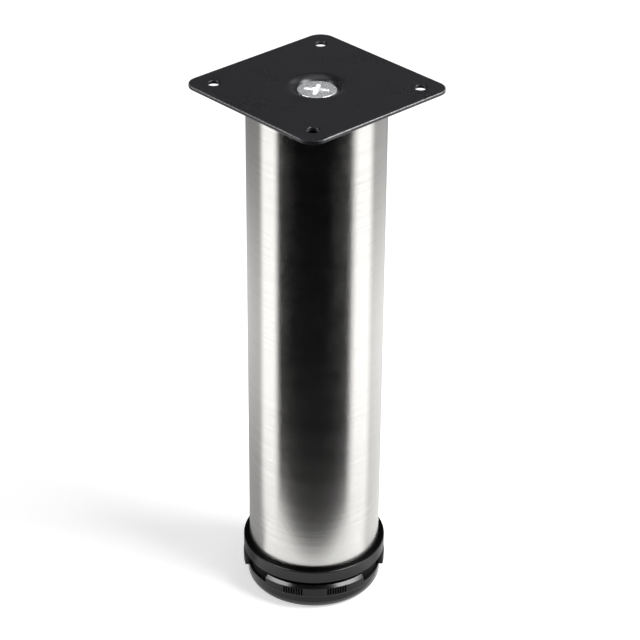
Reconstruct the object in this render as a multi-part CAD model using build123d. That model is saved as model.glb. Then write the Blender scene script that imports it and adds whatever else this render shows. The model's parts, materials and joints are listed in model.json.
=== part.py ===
from build123d import *
import os
from math import radians, sqrt, tan

# Adjustable furniture leg: a round steel tube with a screwed-on mounting plate
# at the top and a screw foot at the bottom. Millimetres, +Z up. The origin is
# the middle of the foot's underside, and the plate's sides run along X and Y.

os.makedirs("parts", exist_ok=True)

# Whole leg
leg_height = 250.0

# Tube
tube_diameter = 60.0
tube_wall = 1.0

# Mounting plate
plate_side = 80.0
plate_thickness = 1.5
corner_radius = 7.0
hole_inset = 9.5
hole_diameter = 5.2
hole_rim = 0.5
dimple_bend = 6.0

# Fixing screw, M8, and its nut
screw_diameter = 8.0
screw_end_past_nut = 3.2
screw_head_diameter = 16.8
screw_head_rim = 1.0
screw_head_sink = 1.8
recess_span = 10.4
recess_floor_span = 4.0
recess_width = 2.5
recess_core_diameter = 6.0
recess_core_floor_diameter = 2.0
recess_depth = 4.4
screw_turn = 35.5
screw_nut_flats = 13.0
screw_nut_thickness = 6.5

# Top insert, pressed into the tube under the plate
top_insert_length = 23.0
top_insert_web = 3.0
top_boss_wall = 3.5

# Bottom insert, pressed into the tube up to its collar
bottom_insert_length = 26.0
collar_overhang = 2.75
collar_height = 6.0
collar_bevel = 0.6
bottom_insert_floor = 3.0
bottom_boss_wall = 3.5

# Both inserts
insert_wall = 2.4
insert_ribs = 6
insert_rib_thickness = 2.0
nut_ceiling = 3.0

# Levelling stud, M10, and its nut
stud_diameter = 10.0
stud_pitch = 1.5
stud_turns = 10
stud_end = 1.0
stud_head_diameter = 16.0
stud_head_height = 5.0
stud_nut_flats = 17.0
stud_nut_thickness = 8.0

# Foot
foot_gap = 1.8
foot_base_height = 8.6
grip_face_height = 4.5
grip_chamfer = 1.5
grip_overhang = 0.2
grip_step = 2.0
base_round = 4.4
foot_wall = 3.0
foot_deck = 3.0
foot_hub_wall = 4.0
foot_ribs = 6
foot_rib_thickness = 2.0
foot_rib_lift = 1.0
foot_turn = -132.0

# Grip: raised segments parted by notches, each with two groups of grooves
segments = 3
notch_angle = 33.0
notch_depth = 3.0
centre_pad_angle = 19.2
grooves = 8
groove_pitch_angle = 2.1
groove_width = 0.65
groove_depth = 0.5
groove_margin = 0.8

# Clearances
press_gap = 0.05
seat_gap = 0.02
thread_gap = 0.05
shank_gap = 0.4
pocket_gap = 0.1
dimple_gap = 0.2
turn_gap = 0.05
nut_recess = 0.4

# Radii and levels that follow from the sizes above
tube_radius = tube_diameter / 2
bore_radius = tube_radius - tube_wall
collar_radius = tube_radius + collar_overhang
grip_radius = collar_radius + grip_overhang
base_radius = grip_radius - grip_step
foot_wall_inner = base_radius - foot_wall
insert_radius = bore_radius - press_gap
insert_inner_radius = insert_radius - insert_wall
insert_mid_wall = insert_radius - insert_wall / 2

foot_height = foot_base_height + grip_face_height + grip_chamfer
collar_bottom = foot_height + foot_gap
tube_bottom = collar_bottom + collar_height
plate_top = leg_height
tube_top = plate_top - plate_thickness
tube_length = tube_top - tube_bottom

screw_radius = screw_diameter / 2
screw_head_radius = screw_head_diameter / 2
shank_hole_radius = screw_radius + shank_gap
screw_head_top = plate_top - screw_head_sink

stud_radius = stud_diameter / 2
stud_head_radius = stud_head_diameter / 2
stud_travel = stud_pitch * stud_turns
stud_head_bottom = foot_rib_lift + foot_hub_wall
hub_radius = stud_head_radius + foot_hub_wall

# The dimple's cone slopes at 45 degrees and would meet the plate's top face
# at this radius if the bend between them were sharp
cone_radius = screw_head_radius + screw_head_sink + screw_head_rim
half_slope = tan(radians(22.5))
mouth_radius = cone_radius + dimple_bend * half_slope
dimple_ring_radius = mouth_radius + plate_thickness
funnel_radius = cone_radius + plate_thickness * half_slope
funnel_depth = cone_radius - shank_hole_radius + plate_thickness * sqrt(2)

# The screw's nut sits under the top insert's web, below the funnel
screw_nut_top = plate_top - funnel_depth - dimple_gap - nut_ceiling
screw_nut_bottom = screw_nut_top - screw_nut_thickness
screw_length = screw_head_top - screw_nut_bottom + screw_end_past_nut

# The stud's nut sits in the bottom insert, just above the foot's hub
stud_nut_bottom = collar_bottom + nut_recess
stud_nut_top = stud_nut_bottom + stud_nut_thickness


def turned(*points):
    """A solid of revolution about Z from (radius, height) points."""
    outline = Polyline(*points, close=True)
    return revolve(Plane.XZ * make_face(outline), Axis.Z)


def at_height(height):
    """A move straight up to a height."""
    return Pos(0, 0, height)


def around(count, piece):
    """Copies of a piece at equal angles about Z."""
    return [Rot(0, 0, 360 * i / count) * piece for i in range(count)]


def cylinder(radius, bottom, top):
    """An upright cylinder between two heights."""
    return at_height(bottom) * extrude(Circle(radius), top - bottom)


def hexagon(across_flats, bottom, top):
    """An upright hexagonal prism between two heights."""
    outline = RegularPolygon(across_flats / 2, 6, major_radius=False)
    return at_height(bottom) * extrude(outline, top - bottom)


def hex_nut(across_flats, thickness, thread_radius, bottom):
    """A plain hexagonal nut, bored at thread size."""
    top = bottom + thickness
    bore = cylinder(thread_radius + thread_gap, bottom, top)
    return hexagon(across_flats, bottom, top) - bore


def plate_outline():
    """The plate's square with its rounded corners."""
    return RectangleRounded(plate_side, plate_side, corner_radius)


def dimple():
    """The pressed funnel in the middle of the plate, out to a flat ring."""
    upper_corner = (cone_radius, 0)
    outline = Polyline(
        (shank_hole_radius, shank_hole_radius - cone_radius),
        upper_corner,
        (dimple_ring_radius, 0),
        (dimple_ring_radius, -plate_thickness),
        (funnel_radius, -plate_thickness),
        (shank_hole_radius, -funnel_depth),
        close=True,
    )
    section = make_face(outline)
    section = fillet(nearest_vertex(section, upper_corner), dimple_bend)
    return revolve(Plane.XZ * section, Axis.Z)


def nearest_vertex(section, corner):
    """The vertex of a flat section that lies closest to a corner."""
    target = Vector(corner[0], corner[1])
    return section.vertices().sort_by(lambda v: (Vector(v) - target).length)[0]


def mounting_plate():
    """The stamped steel plate with four screw holes and the pressed dimple."""
    blank = extrude(plate_outline(), -plate_thickness)
    spacing = plate_side - 2 * hole_inset
    hole_radius = hole_diameter / 2
    hole = cylinder(hole_radius, -plate_thickness, 0)
    hole += turned(
        (0, -hole_rim),
        (hole_radius, -hole_rim),
        (hole_radius + hole_rim, 0),
        (0, 0),
    )
    blank -= GridLocations(spacing, spacing, 2, 2) * hole
    blank -= cylinder(dimple_ring_radius, -plate_thickness, 0)
    return at_height(plate_top) * (blank + dimple())


def cross_recess():
    """The driver's cross: two tapered slots and a tapered core."""
    above = recess_width
    slot_side = Polyline(
        (-recess_span / 2, above),
        (recess_span / 2, above),
        (recess_span / 2, 0),
        (recess_floor_span / 2, -recess_depth),
        (-recess_floor_span / 2, -recess_depth),
        (-recess_span / 2, 0),
        close=True,
    )
    slot = extrude(Plane.XZ * make_face(slot_side), recess_width / 2, both=True)
    core_radius = recess_core_diameter / 2
    core = turned(
        (0, above),
        (core_radius, above),
        (core_radius, 0),
        (recess_core_floor_diameter / 2, -recess_depth),
        (0, -recess_depth),
    )
    return slot + Rot(0, 0, 90) * slot + core


def fixing_screw():
    """The countersunk screw that holds the plate to the top insert's nut."""
    cone_height = screw_head_radius - screw_radius
    rim_bottom = -screw_head_rim + seat_gap
    head = turned(
        (0, 0),
        (screw_head_radius, 0),
        (screw_head_radius, rim_bottom),
        (screw_radius, rim_bottom - cone_height),
        (screw_radius, -screw_length),
        (0, -screw_length),
    )
    head -= cross_recess()
    return at_height(screw_head_top) * Rot(0, 0, screw_turn) * head


def screw_nut():
    """The captive nut of the fixing screw."""
    return hex_nut(screw_nut_flats, screw_nut_thickness, screw_radius, screw_nut_bottom)


def sleeve(bottom, top):
    """The thin round wall by which an insert is pressed into the tube."""
    ring = Circle(insert_radius) - Circle(insert_inner_radius)
    return at_height(bottom) * extrude(ring, top - bottom)


def web(inner, outer, bottom, top, thickness):
    """An upright radial web along X."""
    return Pos(inner, 0, bottom) * Box(
        outer - inner,
        thickness,
        top - bottom,
        align=(Align.MIN, Align.CENTER, Align.MIN),
    )


def spokes(boss_radius, bottom, top):
    """An insert's radial webs, from inside its boss into its wall."""
    inner = boss_radius - insert_rib_thickness / 2
    return around(insert_ribs, web(inner, insert_mid_wall, bottom, top, insert_rib_thickness))


def top_insert():
    """The moulded plug in the tube's top, which carries the screw's nut."""
    boss_radius = screw_nut_flats / sqrt(3) + top_boss_wall
    boss_bottom = screw_nut_bottom - nut_recess
    plug = sleeve(tube_top - top_insert_length, tube_top)
    plug += cylinder(insert_mid_wall, tube_top - top_insert_web, tube_top)
    plug += cylinder(boss_radius, boss_bottom, tube_top)
    plug += spokes(boss_radius, boss_bottom, tube_top)
    seat_mouth = funnel_radius + dimple_gap * sqrt(2)
    seat_depth = seat_mouth - shank_hole_radius
    plug -= turned(
        (0, tube_top),
        (seat_mouth, tube_top),
        (shank_hole_radius, tube_top - seat_depth),
        (0, tube_top - seat_depth),
    )
    plug -= cylinder(shank_hole_radius, boss_bottom, tube_top)
    plug -= hexagon(screw_nut_flats + 2 * pocket_gap, boss_bottom, screw_nut_top)
    return plug


def tube():
    """The round tube that carries the load."""
    shell = Circle(tube_radius) - Circle(bore_radius)
    return at_height(tube_bottom) * extrude(shell, tube_length)


def stud_nut():
    """The captive nut of the levelling stud."""
    return hex_nut(stud_nut_flats, stud_nut_thickness, stud_radius, stud_nut_bottom)


def bottom_insert():
    """The moulded plug in the tube's foot, with the collar under the tube."""
    floor_top = collar_bottom + bottom_insert_floor
    collar = turned(
        (0, collar_bottom),
        (collar_radius, collar_bottom),
        (collar_radius, tube_bottom - collar_bevel),
        (collar_radius - collar_bevel, tube_bottom),
        (insert_inner_radius, tube_bottom),
        (insert_inner_radius, floor_top),
        (0, floor_top),
    )
    boss_radius = stud_nut_flats / sqrt(3) + bottom_boss_wall
    boss_top = stud_nut_top + nut_ceiling
    plug = sleeve(tube_bottom, tube_bottom + bottom_insert_length) + collar
    plug += cylinder(boss_radius, collar_bottom, boss_top)
    plug += spokes(boss_radius, collar_bottom, boss_top)
    plug -= cylinder(stud_radius + shank_gap, collar_bottom, boss_top)
    plug -= hexagon(stud_nut_flats + 2 * pocket_gap, collar_bottom, stud_nut_top)
    return plug


def levelling_stud():
    """The threaded stud with its round head moulded into the foot's hub."""
    head_top = stud_head_bottom + stud_head_height
    tip = stud_nut_top + stud_travel + stud_end
    return turned(
        (0, stud_head_bottom),
        (stud_head_radius, stud_head_bottom),
        (stud_head_radius, head_top),
        (stud_radius, head_top),
        (stud_radius, tip),
        (0, tip),
    )


def foot_blank():
    """The foot's turned outside: rounded base, step, grip band and chamfer.

    The base's rounding is a quarter circle in two chords.
    """
    grip_top = foot_base_height + grip_face_height
    chord_inset = base_round * (1 - sqrt(0.5))
    return turned(
        (0, 0),
        (base_radius - base_round, 0),
        (base_radius - chord_inset, chord_inset),
        (base_radius, base_round),
        (base_radius, foot_base_height),
        (grip_radius, foot_base_height),
        (grip_radius, grip_top),
        (grip_radius - grip_chamfer, foot_height),
        (0, foot_height),
    )


def notch():
    """The space between two grip segments."""
    inner = grip_radius - notch_depth
    outer = grip_radius + 1
    section = Plane.XZ * make_face(
        Polyline(
            (inner, foot_base_height),
            (outer, foot_base_height),
            (outer, foot_height),
            (inner, foot_height),
            close=True,
        )
    )
    return Rot(0, 0, -notch_angle / 2) * revolve(section, Axis.Z, revolution_arc=notch_angle)


def groove_group():
    """The grooves of one segment, on both sides of its centre pad."""
    floor = grip_radius - groove_depth
    clear = grip_radius + groove_depth
    groove_bottom = foot_base_height + groove_margin
    groove_top = foot_base_height + grip_face_height
    cutter = web(floor, clear, groove_bottom, groove_top, groove_width)
    first = centre_pad_angle / 2 + groove_pitch_angle / 2
    angles = [first + i * groove_pitch_angle for i in range(grooves)]
    return [Rot(0, 0, side * a) * cutter for side in (-1, 1) for a in angles]


def foot_cavity():
    """The hollow underside: the hub and the ribs stand clear of the floor."""
    ceiling = foot_height - foot_deck
    hollow = turned(
        (0, 0),
        (foot_wall_inner - base_round, 0),
        (foot_wall_inner, base_round),
        (foot_wall_inner, ceiling),
        (hub_radius, ceiling),
        (hub_radius, foot_rib_lift),
        (0, foot_rib_lift),
    )
    rib = web(stud_radius, grip_radius, foot_rib_lift, ceiling, foot_rib_thickness)
    return hollow - around(foot_ribs, rib)


def foot():
    """The moulded foot that is turned by hand to set the leg's height."""
    body = foot_blank()
    segment_angle = 360 / segments
    for i in range(segments):
        middle = Rot(0, 0, i * segment_angle)
        body -= middle * Rot(0, 0, segment_angle / 2) * notch()
        body -= [middle * cutter for cutter in groove_group()]
    body -= foot_cavity()
    body += cylinder(hub_radius, foot_height, collar_bottom)
    head_top = stud_head_bottom + stud_head_height
    body -= turned(
        (0, stud_head_bottom - turn_gap),
        (stud_head_radius + turn_gap, stud_head_bottom - turn_gap),
        (stud_head_radius + turn_gap, head_top + turn_gap),
        (stud_radius + turn_gap, head_top + turn_gap),
        (stud_radius + turn_gap, collar_bottom),
        (0, collar_bottom),
    )
    return Rot(0, 0, foot_turn) * body


nodes = {
    "mounting_plate": mounting_plate,
    "fixing_screw": fixing_screw,
    "screw_nut": screw_nut,
    "top_insert": top_insert,
    "tube": tube,
    "bottom_insert": bottom_insert,
    "stud_nut": stud_nut,
    "levelling_stud": levelling_stud,
    "foot": foot,
}

for name, make in nodes.items():
    export_step(make(), f"parts/{name}.step")
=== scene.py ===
import json
from math import cos, pi, radians, sin, tan

import bmesh
import bpy
import numpy as np
from mathutils import Euler, Matrix, Vector


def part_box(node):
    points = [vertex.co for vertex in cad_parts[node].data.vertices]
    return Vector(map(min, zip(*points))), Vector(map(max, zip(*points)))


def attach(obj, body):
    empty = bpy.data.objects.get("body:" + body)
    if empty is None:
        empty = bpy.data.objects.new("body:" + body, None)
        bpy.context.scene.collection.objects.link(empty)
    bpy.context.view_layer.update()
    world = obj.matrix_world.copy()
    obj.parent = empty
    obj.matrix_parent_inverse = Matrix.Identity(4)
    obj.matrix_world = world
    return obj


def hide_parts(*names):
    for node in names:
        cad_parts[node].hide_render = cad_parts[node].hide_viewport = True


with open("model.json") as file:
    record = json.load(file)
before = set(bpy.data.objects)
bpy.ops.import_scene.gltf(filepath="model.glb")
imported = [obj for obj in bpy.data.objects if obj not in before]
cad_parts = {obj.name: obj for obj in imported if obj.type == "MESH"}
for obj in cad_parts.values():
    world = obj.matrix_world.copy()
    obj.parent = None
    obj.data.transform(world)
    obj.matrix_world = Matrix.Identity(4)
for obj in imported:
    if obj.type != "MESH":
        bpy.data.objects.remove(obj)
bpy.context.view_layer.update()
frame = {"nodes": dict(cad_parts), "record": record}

# A furniture leg: brushed tube, black stamped plate with a countersunk screw,
# and a black screw foot. Sizes are in millimetres, and made() scales a mesh to
# metres. Only the camera and the light are placed in metres.

MM = 0.001
SMALL = 1e-9

# Heights and radii closer than this count as the same
NEAR = 0.01

# Where the camera stands round the leg: the plate's corner points at it
camera_side = radians(-133.02)


# Surfaces

def turned_angles(count):
    """Equal steps round the axis, in radians."""
    return np.linspace(0, 2 * pi, count, endpoint=False)


def grid_faces(rows, columns, loop_rows=False):
    """Quads of a grid of points kept row by row, its last column joined to its first."""
    index = np.arange(rows * columns).reshape(rows, columns)
    if loop_rows:
        index = np.vstack([index, index[:1]])
    beside = np.roll(index, -1, axis=1)
    quads = np.stack([index[:-1], beside[:-1], beside[1:], index[1:]], axis=-1)
    return quads.reshape(-1, 4)


def turned(profile, angles, loop=False):
    """Surface round the axis: the point is (r cos a, r sin a, z) for each (r, z) of the profile.

    The profile has one (r, z) a row, or one for every row and angle. It runs
    counterclockwise with r to the right and z up, so that faces point outwards.
    """
    profile = np.asarray(profile, float)
    if profile.ndim == 2:
        profile = np.repeat(profile[:, None], len(angles), axis=1)
    r, z = profile[..., 0], profile[..., 1]
    points = np.stack([r * np.cos(angles), r * np.sin(angles), z], axis=-1)
    return points.reshape(-1, 3), grid_faces(*r.shape, loop)


def softened(corners, rounding, steps=4):
    """A line whose corners are rounded.

    Near a corner P it follows (1-t)^2 A + 2t(1-t) P + t^2 B for t from 0 to 1,
    where A and B lie the rounding away from P towards its two neighbours, but
    no more than 0.45 of the way. A rounding of 0 leaves the corner as it is.
    """
    corners = np.asarray(corners, float)
    before = np.roll(corners, 1, axis=0)
    after = np.roll(corners, -1, axis=0)
    t = np.linspace(0, 1, steps + 1).reshape([-1] + [1] * (corners.ndim - 1))
    rows = []
    for i, reach in enumerate(rounding):
        p = corners[i]
        if reach == 0:
            rows.append(p[None])
            continue
        back = before[i] - p
        on = after[i] - p
        back_length = np.maximum(np.linalg.norm(back, axis=-1, keepdims=True), SMALL)
        on_length = np.maximum(np.linalg.norm(on, axis=-1, keepdims=True), SMALL)
        a = p + back * np.minimum(reach / back_length, 0.45)
        b = p + on * np.minimum(reach / on_length, 0.45)
        rows.append((1 - t) ** 2 * a + 2 * t * (1 - t) * p + t**2 * b)
    return np.concatenate(rows)


def turned_section(rows, angles, loop=False, steps=4):
    """Surface round the axis from rows of (r, z, rounding); r may differ from angle to angle."""
    same = np.ones_like(angles)
    corners = [np.stack([r * same, z * same], axis=-1) for r, z, _ in rows]
    return turned(softened(corners, [reach for _, _, reach in rows], steps), angles, loop)


def joined(*parts):
    """Several (points, faces) as one."""
    points = []
    faces = []
    start = 0
    for part_points, part_faces in parts:
        points.append(part_points)
        faces.append(part_faces + start)
        start += len(part_points)
    return np.concatenate(points), np.concatenate(faces)


def rotated(part, angle):
    """A part turned about the axis by an angle in radians."""
    points, faces = part
    x = points[:, 0] * cos(angle) - points[:, 1] * sin(angle)
    y = points[:, 0] * sin(angle) + points[:, 1] * cos(angle)
    return np.stack([x, y, points[:, 2]], axis=-1), faces


def smooth_step(x, low, high):
    """0 below low, 1 above high, and the curve 3t^2 - 2t^3 between them."""
    t = np.clip((x - low) / (high - low), 0, 1)
    return t * t * (3 - 2 * t)


def made(name, part):
    """A mesh object from (points, faces) in millimetres, its seams and poles merged."""
    points, faces = part
    mesh = bpy.data.meshes.new(name)
    mesh.from_pydata((points * MM).tolist(), [], faces.tolist())
    merging = bmesh.new()
    merging.from_mesh(mesh)
    bmesh.ops.remove_doubles(merging, verts=merging.verts, dist=2e-6)
    merging.to_mesh(mesh)
    merging.free()
    mesh.shade_smooth()
    mesh.set_sharp_from_angle(angle=radians(38))
    obj = bpy.data.objects.new(name, mesh)
    bpy.context.scene.collection.objects.link(obj)
    return obj


def fitted(name, part, body, finish, *nodes):
    """A finished piece that rides on a body and stands for its CAD nodes."""
    obj = made(name, part)
    obj.data.materials.append(finishes[finish])
    normals = obj.modifiers.new("even shading", "WEIGHTED_NORMAL")
    normals.keep_sharp = True
    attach(obj, body)
    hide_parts(*nodes)
    return obj


def marked(obj, name, rule):
    """Gives each point of a piece a 0 to 1 value that its material reads.

    The rule takes x, y and z in millimetres.
    """
    points = np.empty(len(obj.data.vertices) * 3)
    obj.data.vertices.foreach_get("co", points)
    x, y, z = points.reshape(-1, 3).T / MM
    mark = obj.data.attributes.new(name, "FLOAT", "POINT")
    mark.data.foreach_set("value", rule(x, y, z))


# Shader helpers

def add_node(tree, kind, **values):
    """A shader node; its inputs are set by name, with underscores for spaces."""
    node = tree.nodes.new(kind)
    for key, value in values.items():
        if key in node.bl_rna.properties:
            setattr(node, key, value)
        else:
            node.inputs[key.replace("_", " ")].default_value = value
    return node


def object_place(tree):
    """Object coordinates."""
    return add_node(tree, "ShaderNodeTexCoord").outputs["Object"]


def stored(tree, name):
    """The value stored for each point under a name, or 0 where there is none."""
    return add_node(tree, "ShaderNodeAttribute", attribute_name=name).outputs["Fac"]


def scaled_place(tree, vector, across, along):
    """Object coordinates scaled by one value across the axis and another along it."""
    mapping = add_node(tree, "ShaderNodeMapping")
    mapping.inputs["Scale"].default_value = (across, across, along)
    tree.links.new(vector, mapping.inputs["Vector"])
    return mapping.outputs["Vector"]


def noise(tree, vector, scale, detail, rough=0.5):
    """The 0 to 1 value of a noise texture."""
    node = add_node(tree, "ShaderNodeTexNoise", Scale=scale, Detail=detail, Roughness=rough)
    tree.links.new(vector, node.inputs["Vector"])
    return node.outputs["Fac"]


def mapped(tree, value, low, high, to_low, to_high):
    """A value moved from one range to another, and kept inside it."""
    node = add_node(tree, "ShaderNodeMapRange")
    node.inputs["From Min"].default_value = low
    node.inputs["From Max"].default_value = high
    node.inputs["To Min"].default_value = to_low
    node.inputs["To Max"].default_value = to_high
    tree.links.new(value, node.inputs["Value"])
    return node.outputs["Result"]


def combined(tree, operation, a, b):
    """Two values, or a value and a number, put together."""
    node = add_node(tree, "ShaderNodeMath", operation=operation)
    tree.links.new(a, node.inputs[0])
    if isinstance(b, (int, float)):
        node.inputs[1].default_value = b
    else:
        tree.links.new(b, node.inputs[1])
    return node.outputs[0]


def weighted(tree, *shares):
    """The sum of several values, each times its own weight."""
    total = None
    for value, weight in shares:
        part = combined(tree, "MULTIPLY", value, weight)
        total = part if total is None else combined(tree, "ADD", total, part)
    return total


def colours(tree, factor, first, second):
    """A colour between two, by a 0 to 1 value; the first may come from another node."""
    node = add_node(tree, "ShaderNodeMix", data_type="RGBA")
    start, end = [s for s in node.inputs if s.type == "RGBA"]
    if isinstance(first, tuple):
        start.default_value = (*first, 1)
    else:
        tree.links.new(first, start)
    end.default_value = (*second, 1)
    tree.links.new(factor, node.inputs["Factor"])
    return [s for s in node.outputs if s.type == "RGBA"][0]


def new_group(name, inputs, outputs):
    """An empty node group with value inputs and outputs, and its two end nodes."""
    group = bpy.data.node_groups.new(name, "ShaderNodeTree")
    for label, start in inputs.items():
        socket = group.interface.new_socket(label, in_out="INPUT", socket_type="NodeSocketFloat")
        socket.default_value = start
    for label in outputs:
        group.interface.new_socket(label, in_out="OUTPUT", socket_type="NodeSocketFloat")
    return group, group.nodes.new("NodeGroupInput"), group.nodes.new("NodeGroupOutput")


def surface_grain_group():
    """Moulded or coated skin: fine grain, a slow unevenness and a few scuffs."""
    group, given, out = new_group("surface_grain", {"Grain": 900.0}, ["Fine", "Slow", "Scuffs"])
    place = object_place(group)
    fine = add_node(group, "ShaderNodeTexNoise", Detail=3.0, Roughness=0.55)
    group.links.new(place, fine.inputs["Vector"])
    group.links.new(given.outputs["Grain"], fine.inputs["Scale"])
    slow = noise(group, place, 55.0, 3.0)
    streaks = noise(group, place, 260.0, 4.0, 0.7)
    scuffs = mapped(group, streaks, 0.62, 0.78, 0.0, 1.0)
    group.links.new(fine.outputs["Fac"], out.inputs["Fine"])
    group.links.new(slow, out.inputs["Slow"])
    group.links.new(scuffs, out.inputs["Scuffs"])
    return group


def finish_material(name, **settings):
    """A named material, its tree and its shader, whose inputs are set by name."""
    material = bpy.data.materials.new(name)
    material.use_nodes = True
    tree = material.node_tree
    shader = tree.nodes["Principled BSDF"]
    for key, value in settings.items():
        shader.inputs[key.replace("_", " ")].default_value = value
    return material, tree, shader


def bare_material(name):
    """A named material without a shader, its tree and the socket that takes its surface."""
    material = bpy.data.materials.new(name)
    material.use_nodes = True
    tree = material.node_tree
    tree.nodes.remove(tree.nodes["Principled BSDF"])
    return material, tree, tree.nodes["Material Output"].inputs["Surface"]


def bumped(tree, shader, height, strength, distance):
    """Raises the surface by a height, without changing the mesh."""
    bump = add_node(tree, "ShaderNodeBump", Strength=strength, Distance=distance)
    tree.links.new(height, bump.inputs["Height"])
    tree.links.new(bump.outputs["Normal"], shader.inputs["Normal"])


def brushed_tube_finish():
    """Steel brushed round the tube: fine lines run round it, so reflections spread up and down."""
    material, tree, shader = finish_material("brushed_tube", Anisotropic=0.9, Anisotropic_Rotation=0.25)
    place = object_place(tree)
    hair = noise(tree, scaled_place(tree, place, 9.0, 5200.0), 1.0, 3.0, 0.65)
    strokes = noise(tree, scaled_place(tree, place, 14.0, 1900.0), 1.0, 3.0, 0.7)
    patches = noise(tree, place, 14.0, 2.0)
    lines = weighted(tree, (hair, 0.35), (strokes, 0.65))
    steel = colours(tree, lines, (0.49, 0.48, 0.46), (0.83, 0.82, 0.80))
    tree.links.new(steel, shader.inputs["Base Color"])
    rough = mapped(tree, lines, 0.3, 0.7, 0.15, 0.22)
    rough = combined(tree, "ADD", rough, mapped(tree, patches, 0.3, 0.7, -0.004, 0.004))
    tree.links.new(rough, shader.inputs["Roughness"])
    tree.links.new(mapped(tree, lines, 0.4, 0.6, 1.0, 0.992), shader.inputs["Metallic"])
    tangent = add_node(tree, "ShaderNodeTangent", direction_type="RADIAL", axis="Z")
    tree.links.new(tangent.outputs["Tangent"], shader.inputs["Tangent"])
    bumped(tree, shader, lines, 0.12, 0.00003)
    return material


def plate_coating_finish():
    """Black coating on stamped steel: low sheen over a faint orange peel, and a speckled arris that is
    lighter and part metal, partly wear and partly a painted highlight.
    """
    material, tree, shader = finish_material("plate_coating")
    grain = add_node(tree, "ShaderNodeGroup", node_tree=surface_grain, Grain=1400.0)
    tone = weighted(tree, (grain.outputs["Slow"], 0.6), (grain.outputs["Fine"], 0.4))
    coat = colours(tree, tone, (0.006, 0.006, 0.0075), (0.011, 0.011, 0.0135))
    specks = noise(tree, object_place(tree), 1100.0, 3.0, 0.6)
    # Partly wear and partly a painted highlight: the speckled arris is made lighter and part metal so it
    # catches the lamps
    wear_and_highlight = combined(tree, "MULTIPLY", stored(tree, "arris"), mapped(tree, specks, 0.38, 0.6, 0.25, 1.0))
    tree.links.new(colours(tree, wear_and_highlight, coat, (0.55, 0.55, 0.56)), shader.inputs["Base Color"])
    tree.links.new(combined(tree, "MULTIPLY", wear_and_highlight, 0.4), shader.inputs["Metallic"])
    tree.links.new(mapped(tree, tone, 0.3, 0.7, 0.26, 0.32), shader.inputs["Roughness"])
    bumped(tree, shader, grain.outputs["Fine"], 0.3, 0.00002)
    return material


def zinc_finish():
    """Dull zinc plating on a forged screw: mottled, with faint swirl marks, and a painted highlight in
    the recess, which is made whiter and less metallic than the rest.
    """
    material, tree, shader = finish_material("zinc_plating")
    place = object_place(tree)
    mottle = noise(tree, place, 600.0, 4.0, 0.6)
    marks = noise(tree, scaled_place(tree, place, 1500.0, 300.0), 1.0, 3.0, 0.6)
    recess = stored(tree, "recess")
    plating = colours(tree, mottle, (0.58, 0.59, 0.61), (0.84, 0.85, 0.87))
    # Painted highlight: the recess is made near white and not metallic, so it shows bright under the
    # lamp
    tree.links.new(colours(tree, recess, plating, (0.96, 0.97, 0.98)), shader.inputs["Base Color"])
    tree.links.new(mapped(tree, recess, 0.0, 1.0, 0.62, 0.0), shader.inputs["Metallic"])
    tree.links.new(mapped(tree, mottle, 0.3, 0.7, 0.20, 0.34), shader.inputs["Roughness"])
    bumped(tree, shader, combined(tree, "ADD", mottle, marks), 0.25, 0.00005)
    return material


def moulding_finish():
    """Black moulded plastic: fine spark texture, low sheen, faint scuffs, and painted shade where it is
    sunk: black and without reflection on the floors of the cuts and on the collar's ledge.
    """
    material, tree, shader = finish_material("moulded_black", Specular_IOR_Level=0.42)
    grain = add_node(tree, "ShaderNodeGroup", node_tree=surface_grain, Grain=1900.0)
    slow, fine, scuffs = [grain.outputs[name] for name in ("Slow", "Fine", "Scuffs")]
    tone = weighted(tree, (slow, 0.5), (fine, 0.25), (scuffs, 0.3))
    # Painted shade: where this mark is 1 the colour goes black and metallic at that black, so the sunk
    # floors lose their reflection and read as shade
    painted_shade = stored(tree, "painted_shade")
    skin = colours(tree, tone, (0.003, 0.003, 0.0035), (0.010, 0.010, 0.011))
    tree.links.new(colours(tree, painted_shade, skin, (0.002, 0.002, 0.002)), shader.inputs["Base Color"])
    tree.links.new(painted_shade, shader.inputs["Metallic"])
    rough = mapped(tree, tone, 0.2, 0.8, 0.14, 0.26)
    rough = combined(tree, "ADD", rough, combined(tree, "MULTIPLY", painted_shade, 0.4))
    tree.links.new(rough, shader.inputs["Roughness"])
    bumped(tree, shader, fine, 0.45, 0.00002)
    return material


surface_grain = surface_grain_group()
finishes = {
    "tube_steel": brushed_tube_finish(),
    "plate_coating": plate_coating_finish(),
    "zinc": zinc_finish(),
    "moulding": moulding_finish(),
}
for entry in frame["record"]["subparts"]:
    node = frame["nodes"][entry["node"]]
    for slot in node.material_slots:
        slot.material = finishes[entry["material_slot"]]


# Tube

tube_low, tube_high = [np.array(corner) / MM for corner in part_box("tube")]
tube_radius = tube_high[0]
tube_wall = 1.0
bore_radius = tube_radius - tube_wall
tube_end_round = 0.3


def brushed_tube():
    """The tube: a wall's section with small rounded ends, turned about the axis."""
    rows = [
        (tube_radius, tube_low[2], tube_end_round),
        (tube_radius, tube_high[2], tube_end_round),
        (bore_radius, tube_high[2], tube_end_round),
        (bore_radius, tube_low[2], tube_end_round),
    ]
    return turned_section(rows, turned_angles(288), loop=True)


fitted("brushed_tube", brushed_tube(), "leg", "tube_steel", "tube")


# Foot

foot_turn = radians(-132)
hub_radius = 12.0
hub_bottom = 1.0
base_radius = 30.95
base_round = 4.4
wall_inner = 27.95
ceiling = 11.6
step_height = 8.6
grip_radius = 32.95
grip_top = 13.1
grip_arris = 1.0
deck_height = 14.6
deck_radius = 31.45
hub_top = 16.4
hub_bore_radius = 5.05
socket_radius = 8.05
socket_top = 10.05
socket_bottom = 4.95

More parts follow.
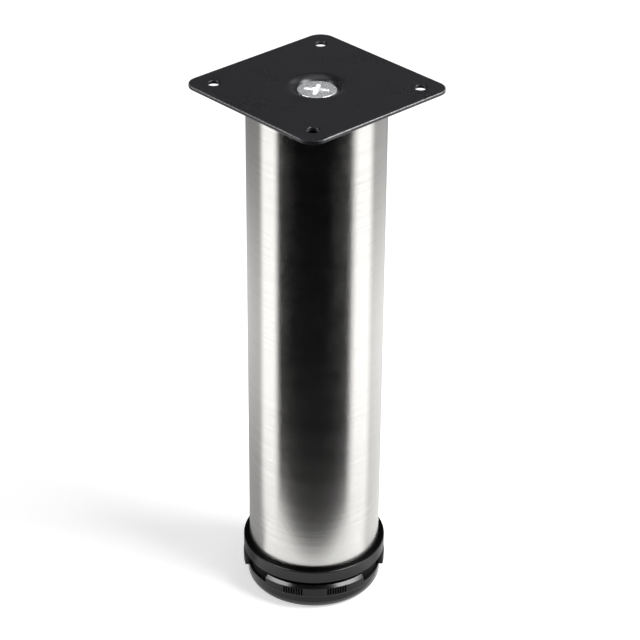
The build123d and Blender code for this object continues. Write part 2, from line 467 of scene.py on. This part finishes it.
segments = 3
notch_angle = 33.0
notch_depth = 3.0
notch_wall_angle = 0.5
centre_pad_angle = 19.2
grooves = 8
groove_pitch_angle = 2.1
groove_width_angle = 1.3
groove_depth = 0.8
groove_bottom = 9.4
groove_end_half = 0.1
groove_wall_angle = 0.14
fill_angle = 2.0
fill_shift = 0.01
web_count = 6
web_thickness = 2.0
web_overlap = 0.5


def foot_angles():
    """Angles round the foot in degrees from a segment's middle, and both cuts' depths there.

    A cut is a trapezoid wave: its depth is 0 outside, full inside, and changes
    in a straight line over the wall's angle. Between the cuts the angles are
    evenly spaced, shifted a little so that none falls on a cut's own angle.
    """
    first = centre_pad_angle / 2 + groove_pitch_angle / 2
    middles = first + groove_pitch_angle * np.arange(grooves)
    middles = np.concatenate([-middles[::-1], middles])
    walls = np.array([-groove_width_angle / 2, groove_width_angle / 2])
    slopes = np.array([-groove_wall_angle / 2, groove_wall_angle / 2])
    edges = (middles[:, None, None] + walls[:, None] + slopes).ravel()
    depth = np.tile([0, groove_depth, groove_depth, 0], len(middles))
    half = 180 / segments
    notch_edge = half - notch_angle / 2
    notch_angles = np.array([notch_edge - notch_wall_angle / 2, notch_edge + notch_wall_angle / 2])
    fill = np.arange(-half, half, fill_angle) + fill_shift
    angles = np.concatenate([edges, fill, notch_angles, -notch_angles])
    angles = np.unique(np.round(angles, 4))
    groove = np.interp(angles, edges, depth, left=0, right=0)
    notch = notch_depth * np.clip((np.abs(angles) - notch_angles[0]) / notch_wall_angle, 0, 1)
    every = [angles + i * 360 / segments for i in range(segments)]
    return np.concatenate(every), np.tile(groove, segments), np.tile(notch, segments)


def foot_shell():
    """The foot's outside and underside: one profile for each angle round it.

    The base's lower edge is rounded by a quarter circle. The grip's radius is
    its full radius less the deeper of the two cuts, and below the grooves and
    on the chamfer above them it is cut by the notches alone.
    """
    angles, groove, notch = foot_angles()
    whole = grip_radius - notch
    grooved = grip_radius - np.maximum(groove, notch)
    deck = np.minimum(deck_radius, whole)
    round_angles = np.radians(np.arange(0, 91, 15))
    base = [
        (base_radius - base_round * (1 - sin(t)), base_round * (1 - cos(t)), 0)
        for t in round_angles
    ]
    rows = [
        (0, hub_bottom, 0),
        (hub_radius, hub_bottom, 0.5),
        (hub_radius, ceiling, 0.6),
        (wall_inner, ceiling, 0.6),
        (wall_inner, base_round, 0.4),
        (wall_inner - base_round, 0, 0.3),
        *base,
        (base_radius, step_height, 0.3),
        (whole, step_height, grip_arris),
        (whole, groove_bottom - groove_end_half, 0),
        (grooved, groove_bottom + groove_end_half, 0),
        (grooved, grip_top, 0.1),
        (whole, grip_top, 0.1),
        (deck, deck_height, 0.4),
        (hub_radius, deck_height, 0.4),
        (hub_radius, hub_top, 0.3),
        (hub_bore_radius, hub_top, 0.2),
        (hub_bore_radius, socket_top, 0),
        (socket_radius, socket_top, 0),
        (socket_radius, socket_bottom, 0),
        (0, socket_bottom, 0),
    ]
    return turned_section(rows, np.radians(angles) + foot_turn, steps=3)


def web_block(inner, outer, bottom, top, thickness):
    """An upright web along X, as a box of six quads."""
    sides = [-thickness / 2, thickness / 2]
    x, y, z = np.meshgrid([inner, outer], sides, [bottom, top], indexing="ij")
    points = np.stack([x.ravel(), y.ravel(), z.ravel()], axis=-1)
    ends = [[0, 1, 3, 2], [4, 6, 7, 5]]
    flanks = [[0, 4, 5, 1], [2, 3, 7, 6]]
    bottom_and_top = [[0, 2, 6, 4], [1, 5, 7, 3]]
    return points, np.array(ends + flanks + bottom_and_top)


def web_ring(web, start):
    """The same web at equal steps round the axis, from an angle on."""
    return [rotated(web, start + i * 2 * pi / web_count) for i in range(web_count)]


def foot_webs():
    """The webs under the deck, from the hub to the rim, each let into what it joins."""
    inner = hub_radius - web_overlap
    outer = wall_inner - base_round + web_overlap
    web = web_block(inner, outer, hub_bottom, ceiling + web_overlap, web_thickness)
    return web_ring(web, foot_turn)


def in_cuts(x, y, z):
    """1 on the floors of the grip's grooves and notches, where the moulding paints shade."""
    depth = grip_radius - np.hypot(x, y)
    groove_margin = 0.1
    notch_margin = 0.15
    groove_span = (z > groove_bottom) & (z < grip_top + 0.05)
    notch_span = (z > step_height) & (z < deck_height - 0.1)
    groove_floor = groove_span & (np.abs(depth - groove_depth) < groove_margin)
    notch_floor = notch_span & (np.abs(depth - notch_depth) < notch_margin)
    return (groove_floor | notch_floor).astype(float)


screw_foot = fitted("screw_foot", joined(foot_shell(), *foot_webs()), "foot", "moulding", "foot")
# Painted shade on the floors of the grooves and notches
marked(screw_foot, "painted_shade", in_cuts)


# Bottom insert

collar_low, collar_high = [np.array(corner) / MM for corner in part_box("bottom_insert")]
collar_bottom = collar_low[2]
collar_radius = collar_high[0]
nut_pocket_flats = 17.2
boss_radius = 13.3
floor_thickness = 3.0
floor_top = collar_bottom + floor_thickness
boss_top = 27.8
pocket_top = 24.8
sleeve_outer = 28.95
sleeve_inner = 26.55
stud_hole_radius = 5.4
ledge_rim = 0.6


def bottom_insert():
    """The insert: collar, sleeve, floor and boss in one turned section.

    The nut pocket's radius at an angle is that of a hexagon with corners at
    every sixth of a turn: half its width over the cosine of the angle from the
    middle of its side.
    """
    angles = turned_angles(288)
    pocket = nut_pocket_flats / 2 / np.cos(np.mod(angles, pi / 3) - pi / 6)
    rows = [
        (pocket, collar_bottom, 0.1),
        (collar_radius, collar_bottom, 0.35),
        (collar_radius, tube_low[2], 0.5),
        (collar_radius - ledge_rim, tube_low[2], 0),
        (sleeve_outer, tube_low[2], 0),
        (sleeve_outer, collar_high[2], 0.3),
        (sleeve_inner, collar_high[2], 0.3),
        (sleeve_inner, floor_top, 0.4),
        (boss_radius, floor_top, 0.4),
        (boss_radius, boss_top, 0.4),
        (stud_hole_radius, boss_top, 0.2),
        (stud_hole_radius, pocket_top, 0),
        (pocket, pocket_top, 0),
    ]
    shell = turned_section(rows, angles, loop=True)
    inner = boss_radius - web_overlap
    outer = sleeve_inner + web_overlap
    web = web_block(inner, outer, floor_top - web_overlap, boss_top, web_thickness)
    return joined(shell, *web_ring(web, 0))


def on_ledge(x, y, z):
    """1 on the collar's ledge beside the tube, where the moulding paints the shadow that lies there
    because no light reaches it.
    """
    radius = np.hypot(x, y)
    inside = (radius < collar_radius - ledge_rim + NEAR) & (radius > sleeve_outer - NEAR)
    return (inside & (np.abs(z - tube_low[2]) < NEAR)).astype(float)


collar_insert = fitted("collar_insert", bottom_insert(), "leg", "moulding", "bottom_insert")
# Painted shade on the ledge beside the tube
marked(collar_insert, "painted_shade", on_ledge)


# Threads

def thread_rows(radius, pitch, depth, bottom, top, angles):
    """A right-hand thread between two heights.

    The radius falls from the crest to the root and back as a trapezoid wave of
    height / pitch - angle / turn. It runs out over one pitch at the bottom and
    ends in a chamfer at the top.
    """
    rows_a_pitch = 10
    crest = 0.15
    slope = 0.7
    chamfer = 1.0
    heights = np.arange(bottom, top + SMALL, pitch / rows_a_pitch)[:, None]
    phase = heights / pitch - angles / (2 * pi)
    wave = np.abs(2 * (phase - np.floor(phase)) - 1)
    cut = np.clip((wave - crest) / slope, 0, 1)
    run_out = smooth_step(heights, bottom, bottom + pitch)
    tip = np.clip(radius - (heights - (top - chamfer)), 0, radius)
    r = np.minimum(radius - depth * cut * run_out, tip)
    return np.stack([r, np.broadcast_to(heights, r.shape)], axis=-1)


def end_row(radius, height, angles):
    """One ring of a profile."""
    row = np.empty((1, len(angles), 2))
    row[..., 0] = radius
    row[..., 1] = height
    return row


stud_low, stud_high = [np.array(corner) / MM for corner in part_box("levelling_stud")]
stud_head_radius = 8.0
stud_head_height = 5.0
stud_head_chamfer = 0.3
stud_radius = 5.0
stud_pitch = 1.5
stud_thread_depth = 0.92
stud_neck = 0.6


def levelling_stud():
    """The stud: a round head in the foot's hub, a plain neck and an M10 thread."""
    angles = turned_angles(72)
    head_bottom = stud_low[2]
    head_top = head_bottom + stud_head_height
    head_face = stud_head_radius - stud_head_chamfer
    thread_bottom = head_top + stud_neck
    return turned(np.concatenate([
        end_row(0, head_bottom, angles),
        end_row(head_face, head_bottom, angles),
        end_row(stud_head_radius, head_bottom + stud_head_chamfer, angles),
        end_row(stud_head_radius, head_top - stud_head_chamfer, angles),
        end_row(head_face, head_top, angles),
        end_row(stud_radius, head_top, angles),
        thread_rows(stud_radius, stud_pitch, stud_thread_depth, thread_bottom, stud_high[2], angles),
        end_row(0, stud_high[2], angles),
    ]), angles)


fitted("levelling_thread", levelling_stud(), "stud", "zinc", "levelling_stud")


# Fixing screw

screw_low, screw_high = [np.array(corner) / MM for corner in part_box("fixing_screw")]
screw_radius = 4.0
screw_pitch = 1.25
screw_thread_depth = 0.7
head_radius = 8.4
head_rim_height = 1.0
head_rim_width = 0.7
screw_turn = radians(35.5)
slot_half_width = 1.25
slot_half_span = 5.5
slot_floor_half_span = 1.9
arm_depth = 1.1
core_radius = 2.3
core_depth = 2.0
recess_radius = 5.8


def recess_below(x, y):
    """The cross recess's depth under a point of the head.

    Each arm's depth falls from its full value near the middle to nothing at
    its end, as the square root of the length that is left. Across the arm it
    is a trough: 1 - (3t^2 - 2t^3) of t, the distance from the arm's middle
    line. A round core lies deeper.
    """
    def arm(along, across):
        end = (slot_half_span - np.abs(along)) / (slot_half_span - slot_floor_half_span)
        side = np.abs(across) / slot_half_width
        return np.clip(end, 0, 1) ** 0.5 * (1 - smooth_step(side, 0.25, 1))

    arms = arm_depth * np.maximum(arm(x, y), arm(y, x))
    core = core_depth * (1 - smooth_step(np.hypot(x, y), 0.4 * core_radius, core_radius))
    return np.maximum(arms, core)


def fixing_screw():
    """The screw: head face with its recess, rounded rim, cone, and an M8 thread."""
    angles = turned_angles(240)
    face_top = screw_high[2]
    face_radius = head_radius - head_rim_width
    fine_rings = np.linspace(0, 5.6, 84)
    outer_rings = np.linspace(5.7, face_radius, 10)
    rings = np.concatenate([fine_rings, outer_rings])[:, None]
    x = rings * np.cos(angles - screw_turn)
    y = rings * np.sin(angles - screw_turn)
    face = np.stack([np.broadcast_to(rings, x.shape), face_top - recess_below(x, y)], axis=-1)
    cone_top = face_top - head_rim_height
    cone_bottom = cone_top - (head_radius - screw_radius)
    rim = softened(
        [
            (screw_radius, cone_bottom),
            (head_radius, cone_top),
            (head_radius, face_top),
            (face_radius, face_top),
        ],
        [0, 0.2, 0.6, 0],
    )
    rim = np.repeat(rim[:, None], len(angles), axis=1)
    thread_top = cone_bottom - screw_pitch
    shank = thread_rows(screw_radius, screw_pitch, screw_thread_depth, screw_low[2], thread_top, angles)
    shank[..., 1] = screw_low[2] + thread_top - shank[..., 1]
    tip = end_row(0, screw_low[2], angles)
    return turned(np.concatenate([tip, shank[::-1], rim, face[::-1]]), angles)


def in_recess(x, y, z):
    """1 in the cross recess, rising over its edge; it marks where the zinc paints its highlight."""
    sunk = screw_high[2] - z
    return smooth_step(sunk, 0.05, 0.4) * (np.hypot(x, y) < recess_radius - sunk)


countersunk_screw = fitted("countersunk_screw", fixing_screw(), "leg", "zinc", "fixing_screw")
# Painted highlight in the screw's recess
marked(countersunk_screw, "recess", in_recess)


# Mounting plate

plate_low, plate_high = [np.array(corner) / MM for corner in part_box("mounting_plate")]
plate_top = plate_high[2]
plate_thickness = 1.5
plate_under = plate_top - plate_thickness
plate_half = plate_high[0]
corner_radius = 7.0
hole_inset = 9.5
hole_offset = plate_half - hole_inset
hole_radius = 2.6
hole_rim = 0.3
dimple_ring_radius = 15.185
mouth_bend = 6.0
cone_radius = 11.2
shank_hole_radius = 4.4
edge_round = 0.45


def plate_outline(inset, angles):
    """The plate's outline: a square with round corners, drawn in by an inset.

    At each angle the radius is that of the square, or near a corner that of
    the corner's circle: d cos b + sqrt(r^2 - (d sin b)^2), where d is the
    distance to the circle's centre, r its radius and b the angle from it.
    """
    from_side = np.mod(angles + pi / 4, pi / 2) - pi / 4
    square = (plate_half - inset) / np.cos(from_side)
    straight = plate_half - corner_radius
    away = pi / 4 - np.abs(from_side)
    reach = straight * np.sqrt(2)
    small = corner_radius - inset
    circle = reach * np.cos(away) + np.sqrt(np.maximum(small**2 - (reach * np.sin(away)) ** 2, 0))
    on_side = np.abs(np.tan(from_side)) * (plate_half - inset) <= straight
    radius = np.where(on_side, square, circle)
    return np.stack([radius * np.cos(angles), radius * np.sin(angles)], axis=-1)


def quadrant_rim_angles():
    """Angles of a quarter of the outline, close together round its corner."""
    start = np.arctan2(plate_half - corner_radius, plate_half)
    side = np.linspace(0, start, 14)
    corner = np.linspace(start, pi / 2 - start, 15)
    return np.unique(np.round(np.concatenate([side, corner, pi / 2 - side]), 7))


rim_angles = quadrant_rim_angles()
ring_angles = np.linspace(0, pi / 2, 25)


def all_round(angles):
    """A quarter turn's angles, repeated over the whole turn."""
    return np.concatenate([angles[:-1] + i * pi / 2 for i in range(4)])


def plate_quarter(height, facing_up):
    """A flat quarter of the plate round its hole.

    Its rows are a straight blend from the hole's circle to the quarter's edge,
    closer together near the hole. The upper quarter has the hole's wall too,
    with a rounded rim.
    """
    outline = plate_outline(edge_round, rim_angles)
    spoke = np.linspace(1, 0, 9)[1:-1]
    ring = dimple_ring_radius * np.stack([np.cos(ring_angles), np.sin(ring_angles)], axis=-1)
    on_y = outline[-1] * spoke[:, None] + ring[-1] * (1 - spoke[:, None])
    on_x = outline[0] * spoke[::-1, None] + ring[0] * (1 - spoke[::-1, None])
    edge = np.concatenate([outline, on_y, ring[::-1], on_x])
    centre = np.array([hole_offset, hole_offset])
    away = edge - centre
    away /= np.linalg.norm(away, axis=1, keepdims=True)
    start = hole_radius + (hole_rim if facing_up else 0)
    crowding = 1.4
    share = np.linspace(0, 1, 7)[:, None, None] ** crowding
    flat = (1 - share) * (centre + start * away) + share * edge
    rows = [np.column_stack([p, np.full(len(p), height)]) for p in flat]
    if not facing_up:
        return np.concatenate(rows), grid_faces(len(rows), len(edge))
    wall = [
        (start + 0.4, height),
        (start, height),
        (hole_radius, height - hole_rim),
        (hole_radius, plate_under),
    ]
    for r, z in softened(wall, [0, 0.25, 0.25, 0])[1:]:
        rows.insert(0, np.column_stack([centre + r * away, np.full(len(edge), z)]))
    return np.concatenate(rows), grid_faces(len(rows), len(edge))[:, ::-1]


def plate_rim():
    """The plate's edge: its outline carried round a section with rounded arrises."""
    angles = all_round(rim_angles)
    section = softened(
        [(edge_round, plate_under), (0, plate_under), (0, plate_top), (edge_round, plate_top)],
        [0, edge_round, edge_round, 0],
        steps=5,
    )
    rows = [
        np.column_stack([plate_outline(inset, angles), np.full(len(angles), z)])
        for inset, z in section
    ]
    return np.concatenate(rows), grid_faces(len(rows), len(angles))


def plate_dimple():
    """The pressed funnel: a bend, a cone at 45 degrees, the hole's wall and the underside."""
    bend = np.radians(np.linspace(0, 45, 9))
    mouth = cone_radius + mouth_bend * tan(pi / 8)

    def bent(radius, height):
        return np.stack([mouth - radius * np.sin(bend), height - radius * (1 - np.cos(bend))], axis=-1)

    profile = np.concatenate([
        [(dimple_ring_radius, plate_under)],
        bent(mouth_bend - plate_thickness, plate_under),
        [(shank_hole_radius, plate_low[2])],
        [(shank_hole_radius, plate_top - (cone_radius - shank_hole_radius))],
        bent(mouth_bend, plate_top)[::-1],
        [(dimple_ring_radius, plate_top)],
    ])
    points, faces = turned(profile, all_round(ring_angles))
    return points, faces[:, ::-1]


def stamped_plate():
    """The plate from four quarters above and below, its rim and its funnel."""
    upper = plate_quarter(plate_top, facing_up=True)
    lower = plate_quarter(plate_under, facing_up=False)
    quarters = [rotated(q, i * pi / 2) for q in (upper, lower) for i in range(4)]
    return joined(*quarters, plate_rim(), plate_dimple())


def on_arris(x, y, z):
    """1 along the plate's upper arris, but not round the corner that points at the camera; it marks the
    speckled arris, partly wear and partly a painted highlight.
    """
    camera_corner = -135
    straight = plate_half - corner_radius
    past_x = np.abs(x) - straight
    past_y = np.abs(y) - straight
    from_side = plate_half - np.maximum(np.abs(x), np.abs(y))
    from_corner = corner_radius - np.hypot(past_x, past_y)
    inset = np.where((past_x > 0) & (past_y > 0), from_corner, from_side)
    away = np.abs((np.degrees(np.arctan2(y, x)) - camera_corner + 180) % 360 - 180)
    rim = (1 - smooth_step(inset, 0.1, 0.25)) * smooth_step(z, plate_top - 0.4, plate_top - 0.15)
    return rim * smooth_step(away, 4.5, 6)


mounting_plate = fitted("stamped_plate", stamped_plate(), "leg", "plate_coating", "mounting_plate")
# Wear and painted highlight along the plate's upper arris
marked(mounting_plate, "arris", on_arris)


# Floor, light and camera

floor_half = 6000.0
floor_white = (0.8, 0.8, 0.8, 1)
floor_glow = 0.605
fill_light = 0.25
bowl_start = 34.0
bowl_floor_radius = 1100.0
bowl_floor_height = 1.0
bowl_radius = 1200.0
bowl_centre_height = 120.0


def direct_rays(tree):
    """1 for the rays that the camera sees itself, mirrored or through an opening, else 0."""
    seen = add_node(tree, "ShaderNodeLightPath")
    rays = combined(tree, "ADD", seen.outputs["Is Camera Ray"], seen.outputs["Is Glossy Ray"])
    return combined(tree, "ADD", rays, seen.outputs["Is Transmission Ray"])


def studio_floor():
    """A white floor that keeps the leg's shadow and is white where nothing shades it.

    It goes down with the stud, so that the leg stands on it at every setting.
    """
    corners = [(-1, -1, 0), (1, -1, 0), (1, 1, 0), (-1, 1, 0)]
    floor = made("floor", (floor_half * np.array(corners), np.array([[0, 1, 2, 3]])))
    material, tree, surface = bare_material("floor_white")
    paint = add_node(tree, "ShaderNodeBsdfDiffuse", Color=floor_white)
    glow = add_node(tree, "ShaderNodeEmission")
    tree.links.new(combined(tree, "MULTIPLY", direct_rays(tree), floor_glow), glow.inputs["Strength"])
    both = add_node(tree, "ShaderNodeAddShader")
    tree.links.new(paint.outputs["BSDF"], both.inputs[0])
    tree.links.new(glow.outputs["Emission"], both.inputs[1])
    tree.links.new(both.outputs["Shader"], surface)
    floor.data.materials.append(material)
    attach(floor, "stud")


def window(angle, middle, half_width, soft):
    """1 within the half width of a middle angle, falling to 0 over the soft edge; in degrees."""
    off = np.abs((angle - middle + 180) % 360 - 180)
    return 1 - smooth_step(off, half_width - soft / 2, half_width + soft / 2)


def studio_tones(angle, radius, rise):
    """How bright the reflectors are, by angle from the camera's side, distance and elevation.

    Low down they are light and dark sectors, which the tube draws out into its
    upright bands. Close to the leg the sectors are drawn round towards the
    camera, by up to 32 degrees times (75 / distance) squared, and less at the
    back. Higher up they are soft boxes on a nearly black wall. A sector or box
    is a window: its middle, half its width and its soft edge, in degrees.
    """
    turned_away = (angle + 180) % 360 - 180
    ahead = np.abs(turned_away) / 45
    drawn_in = 32 * np.minimum(75 / radius, 1.1) ** 2 * np.maximum(1 - ahead / 4, 0)
    seen = turned_away + np.sign(turned_away) * drawn_in

    room = (0.25 + 0.5 * np.exp(-(((radius - 270) / 150) ** 2))) * window(seen, 177, 117, 14)
    strips = 0.85 * window(seen, -82, 16, 12) + 0.9 * window(seen, 82, 18, 18)
    strips *= 1 + 0.35 * smooth_step(radius, 330, 480)
    back_right = (0.15 + 0.4 * np.exp((100 - radius) / 250)) * window(seen, 130, 30, 40)
    haze = 0.02 * np.minimum(110 / radius, 1.5) ** 3
    near_edge = smooth_step(radius, 62 + 20 * ahead**2, 80 + 32 * ahead**2)
    near = 1.22 * (1 - near_edge) * window(angle, 0, 80, 20)
    foot_shade = 0.62 + 0.38 * smooth_step(radius, 46, 62)
    low = np.maximum(room + strips + back_right + haze, near) * foot_shade

    right_box = 14 * window(angle, 70, 28, 8) * window(rise, 47, 14, 6)
    left_box = 12 * window(angle, -70, 24, 8) * window(rise, 41, 9, 6)
    back_box = 1.2 * window(angle, 146, 14, 16) * window(rise, 42, 8, 10)
    behind = 0.12 * window(angle, 180, 70, 40) * window(rise, 28, 22, 16)
    overhead = 1.2 * smooth_step(rise, 64, 72)
    high = 0.01 + behind + right_box + left_box + back_box + overhead

    up = smooth_step(rise, 8, 16)
    return (1 - up) * low + up * high


def studio_reflectors():
    """A bowl that only shiny surfaces see: floor, wall and ceiling in one turned surface."""
    rings = np.geomspace(bowl_start, bowl_floor_radius, 70)
    bowl_floor = np.stack([rings, np.full(len(rings), bowl_floor_height)], axis=-1)
    arc = np.radians(np.linspace(0, 90, 50))
    dome = np.stack([bowl_radius * np.cos(arc), bowl_centre_height + bowl_radius * np.sin(arc)], axis=-1)
    points, faces = turned(np.concatenate([bowl_floor, dome]), turned_angles(240))
    mesh = bpy.data.meshes.new("reflectors")
    mesh.from_pydata((points * MM).tolist(), [], faces[:, ::-1].tolist())
    radius = np.hypot(points[:, 0], points[:, 1])
    angle = np.degrees(np.arctan2(points[:, 1], points[:, 0]) - camera_side)
    rise = np.degrees(np.arctan2(points[:, 2] - bowl_centre_height, radius))
    tone = mesh.attributes.new("tone", "FLOAT", "POINT")
    tone.data.foreach_set("value", studio_tones(angle, radius, rise))
    reflectors = bpy.data.objects.new("reflectors", mesh)
    bpy.context.scene.collection.objects.link(reflectors)
    material, tree, surface = bare_material("reflector_tones")
    glow = add_node(tree, "ShaderNodeEmission")
    tree.links.new(stored(tree, "tone"), glow.inputs["Strength"])
    tree.links.new(glow.outputs["Emission"], surface)
    material.cycles.emission_sampling = "NONE"
    mesh.materials.append(material)
    reflectors.visible_camera = False
    reflectors.visible_diffuse = False
    reflectors.visible_shadow = False
    reflectors.visible_transmission = False
    reflectors.visible_volume_scatter = False
    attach(reflectors, "stud")


def soft_light(name, angle, rise, distance, width, height, power):
    """A soft light that points at the middle of the leg, placed by degrees from the camera's side."""
    turn = camera_side + radians(angle)
    level = radians(rise)
    middle = Vector((0, 0, 0.12))
    place = middle + distance * Vector((cos(turn) * cos(level), sin(turn) * cos(level), sin(level)))
    data = bpy.data.lights.new(name, "AREA")
    data.shape = "RECTANGLE"
    data.size = width
    data.size_y = height
    data.energy = power
    lamp = bpy.data.objects.new(name, data)
    lamp.location = place
    lamp.rotation_euler = (place - middle).to_track_quat("Z", "Y").to_euler()
    lamp.visible_glossy = False
    bpy.context.scene.collection.objects.link(lamp)


def studio_world():
    """White where the camera looks past the leg, and a soft grey that fills the shadows."""
    world = bpy.data.worlds.new("studio")
    world.use_nodes = True
    tree = world.node_tree
    background = tree.nodes["Background"]
    strength = mapped(tree, direct_rays(tree), 0.0, 1.0, fill_light, 1.0)
    tree.links.new(strength, background.inputs["Strength"])
    background.inputs["Color"].default_value = (1, 1, 1, 1)
    bpy.context.scene.world = world


def photo_camera():
    """The photograph's camera: it looks down on the leg's middle, then turns by small angles."""
    small_turns = (-0.5735, -0.1172, 0.3716)
    tilt = radians(30.984)
    distance = 1.00082
    aim = Vector((0, 0, 0.125))
    right = Vector((-sin(camera_side), cos(camera_side), 0))
    back = Vector((cos(camera_side) * cos(tilt), sin(camera_side) * cos(tilt), sin(tilt)))
    up = back.cross(right)
    level = Matrix((right, -up, -back))
    turn = Euler([radians(angle) for angle in small_turns]).to_matrix() @ level
    data = bpy.data.cameras.new("camera")
    data.lens = 126.63
    data.sensor_width = 36
    camera = bpy.data.objects.new("camera", data)
    axes = Matrix((turn[0], -turn[1], -turn[2])).transposed()
    camera.matrix_world = Matrix.Translation(aim + distance * back) @ axes.to_4x4()
    bpy.context.scene.collection.objects.link(camera)
    bpy.context.scene.camera = camera


studio_floor()
studio_reflectors()
studio_world()
soft_light("key_light", angle=67.6, rise=49.5, distance=1.075, width=0.55, height=0.36, power=13.8)
photo_camera()
bpy.context.scene.view_settings.view_transform = "Standard"
